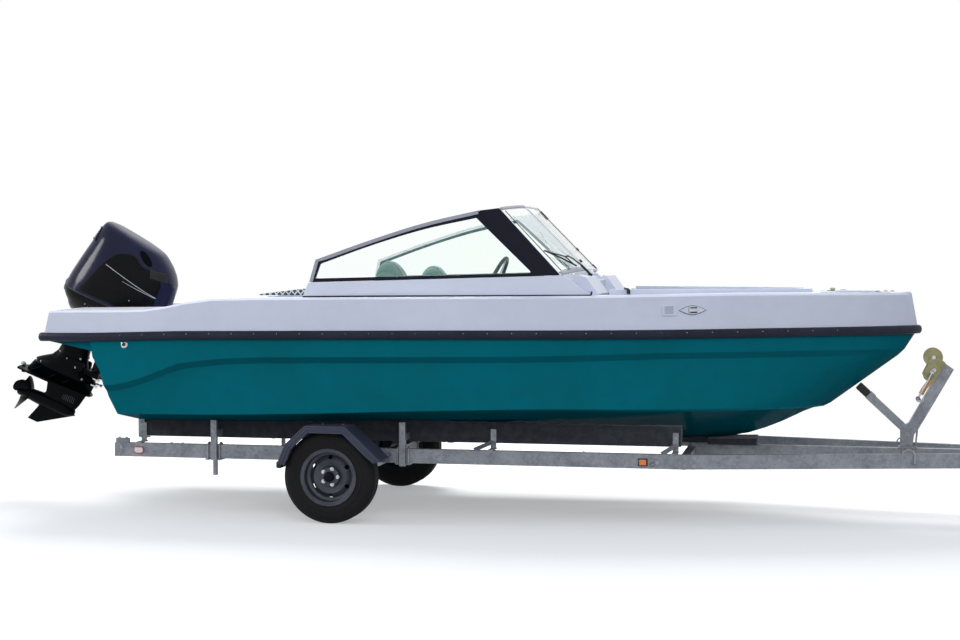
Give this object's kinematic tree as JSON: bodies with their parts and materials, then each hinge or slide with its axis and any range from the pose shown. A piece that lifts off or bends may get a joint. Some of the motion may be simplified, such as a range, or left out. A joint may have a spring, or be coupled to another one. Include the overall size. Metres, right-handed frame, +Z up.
{
  "type": "outboard motorboat on a road trailer",
  "caption": "Open bow motorboat with wraparound windscreen and a tilted outboard engine, standing on its bunk trailer with jockey wheel and winch post.",
  "frame": {"origin": "on the ground under the middle of the bounding box", "axes": "+X to the bow and the coupling, +Y to port, +Z up"},
  "size_m": [8.6864, 2.306, 2.2325],
  "materials": {
    "teal_gelcoat": "gloss gelcoat",
    "liner_white": "satin gelcoat",
    "white_gelcoat": "gloss gelcoat",
    "rail_black": "satin",
    "frame_black": "satin powder coat",
    "screen_glass": "clear, faint green",
    "upholstery": "stitched vinyl",
    "bolster_quilt": "diamond quilted vinyl",
    "galvanised": "galvanised",
    "wheel_rubber": "matte",
    "bracket_black": "satin",
    "engine_paint": "gloss",
    "engine_gloss": "gloss",
    "tyre": "matte",
    "rim_black": "satin",
    "fender_plastic": "matte",
    "carpet": "marine carpet",
    "yellow_zinc": "yellow passivated zinc",
    "bright_steel": "plated",
    "lamp_orange": "lens"
  },
  "bodies": {
    "boat_and_trailer": {"hull": "teal_gelcoat", "cockpit_liner": "liner_white", "bench_base": "liner_white", "deck": "white_gelcoat", "screen_moulding_port": "white_gelcoat", "screen_moulding_starboard": "white_gelcoat", "rub_rail": "rail_black", "side_window_frame_port": "frame_black", "side_window_frame_starboard": "frame_black", "front_screen_frame_port": "frame_black", "front_screen_frame_starboard": "frame_black", "side_glass_port": "screen_glass", "side_glass_starboard": "screen_glass", "front_glass_port": "screen_glass", "front_glass_starboard": "screen_glass", "bench_cushion": "upholstery", "bow_cushion": "upholstery", "side_bolster_port": "bolster_quilt", "side_bolster_starboard": "bolster_quilt", "seat_pedestal_port": "galvanised", "seat_pedestal_starboard": "galvanised", "side_member_port": "galvanised", "side_member_starboard": "galvanised", "centre_beam": "galvanised", "rear_crossbar": "galvanised", "axle_beam": "galvanised", "bow_post": "galvanised", "coupling_head": "galvanised", "jockey_clamp": "galvanised", "bow_stop": "wheel_rubber", "clamp_bracket": "bracket_black", "fender_port": "fender_plastic", "fender_starboard": "fender_plastic", "bunk_port": "carpet", "bunk_starboard": "carpet", "keel_pad": "carpet", "winch_frame": "yellow_zinc", "side_lamp_port": "lamp_orange", "side_lamp_starboard": "lamp_orange"},
    "wheel_port": {"tyre_port": "tyre", "wheel_rim_port": "rim_black"},
    "wheel_starboard": {"tyre_starboard": "tyre", "wheel_rim_starboard": "rim_black"},
    "engine_swivel": {"swivel_bracket": "bracket_black"},
    "engine": {"engine_leg": "engine_paint", "gearcase": "engine_paint", "engine_pan": "engine_gloss", "engine_cowl": "engine_gloss"},
    "propeller": {"propeller": "engine_paint"},
    "helm": {"steering_wheel": "wheel_rubber"},
    "walkthrough_screen": {"walkthrough_screen_frame": "frame_black", "walkthrough_screen_glass": "screen_glass"},
    "walkthrough_door": {"walkthrough_door": "white_gelcoat"},
    "helm_seat": {"seat_starboard": "upholstery"},
    "mate_seat": {"seat_port": "upholstery"},
    "winch_drum": {"winch_drum": "yellow_zinc"},
    "winch_crank": {"winch_crank": "bright_steel"},
    "jockey_inner": {"jockey_tube": "galvanised"},
    "jockey_fork": {"jockey_fork": "galvanised"},
    "jockey_wheel": {"jockey_wheel": "wheel_rubber"}
  },
  "joints": [
    {"name": "wheel_spin_port", "type": "hinge", "parent": "boat_and_trailer", "child": "wheel_port", "pos_m": [-1.4418, 1, 0.325], "axis": [0, 1, 0], "continuous": true},
    {"name": "wheel_spin_starboard", "type": "hinge", "parent": "boat_and_trailer", "child": "wheel_starboard", "pos_m": [-1.4418, -1, 0.325], "axis": [0, 1, 0], "continuous": true},
    {"name": "engine_tilt", "type": "hinge", "parent": "boat_and_trailer", "child": "engine_swivel", "pos_m": [-3.3028, 0, 1.2], "axis": [0, 1, 0], "range_deg": [-26, 48]},
    {"name": "engine_steer", "type": "hinge", "parent": "engine_swivel", "child": "engine", "pos_m": [-3.51142, 0, 1.28429], "axis": [0.3746, 0, 0.9272], "range_deg": [-30, 30]},
    {"name": "propeller_spin", "type": "hinge", "parent": "engine", "child": "propeller", "pos_m": [-3.57327, 0, 0.53057], "axis": [0.9272, 0, -0.3746], "continuous": true},
    {"name": "helm_turn", "type": "hinge", "parent": "boat_and_trailer", "child": "helm", "pos_m": [-0.3768, -0.45, 1.696], "axis": [0.8988, 0, -0.4384], "range_deg": [-540, 540]},
    {"name": "walkthrough_screen_hinge", "type": "hinge", "parent": "boat_and_trailer", "child": "walkthrough_screen", "pos_m": [0.258, 0.2775, 1.7689], "axis": [-0.7057, 0, 0.7085], "range_deg": [0, 100]},
    {"name": "walkthrough_door_hinge", "type": "hinge", "parent": "boat_and_trailer", "child": "walkthrough_door", "pos_m": [0.2902, -0.274, 1.3], "axis": [0, 0, 1], "range_deg": [0, 88]},
    {"name": "helm_seat_swivel", "type": "hinge", "parent": "boat_and_trailer", "child": "helm_seat", "pos_m": [-0.9428, -0.45, 1.3], "axis": [0, 0, 1], "continuous": true},
    {"name": "mate_seat_swivel", "type": "hinge", "parent": "boat_and_trailer", "child": "mate_seat", "pos_m": [-0.8378, 0.45, 1.3], "axis": [0, 0, 1], "continuous": true},
    {"name": "winch_drum_turn", "type": "hinge", "parent": "boat_and_trailer", "child": "winch_drum", "pos_m": [2.6812, 0, 1.147], "axis": [0, 1, 0], "continuous": true},
    {"name": "winch_crank_turn", "type": "hinge", "parent": "boat_and_trailer", "child": "winch_crank", "pos_m": [2.6712, 0, 1.042], "axis": [0, 1, 0], "continuous": true},
    {"name": "jockey_screw", "type": "slide", "parent": "boat_and_trailer", "child": "jockey_inner", "axis": [0, 0, 1], "range_m": [-0.15, 0.12]},
    {"name": "jockey_swivel", "type": "hinge", "parent": "jockey_inner", "child": "jockey_fork", "pos_m": [3.7272, -0.19, 0.3], "axis": [0, 0, 1], "continuous": true},
    {"name": "jockey_wheel_spin", "type": "hinge", "parent": "jockey_fork", "child": "jockey_wheel", "pos_m": [3.6872, -0.19, 0.1], "axis": [0, 1, 0], "continuous": true}
  ],
  "couplings": [
    {"joint": "helm_turn", "follows": "engine_steer", "ratio": 18},
    {"joint": "winch_crank_turn", "follows": "winch_drum_turn", "ratio": -4}
  ]
}
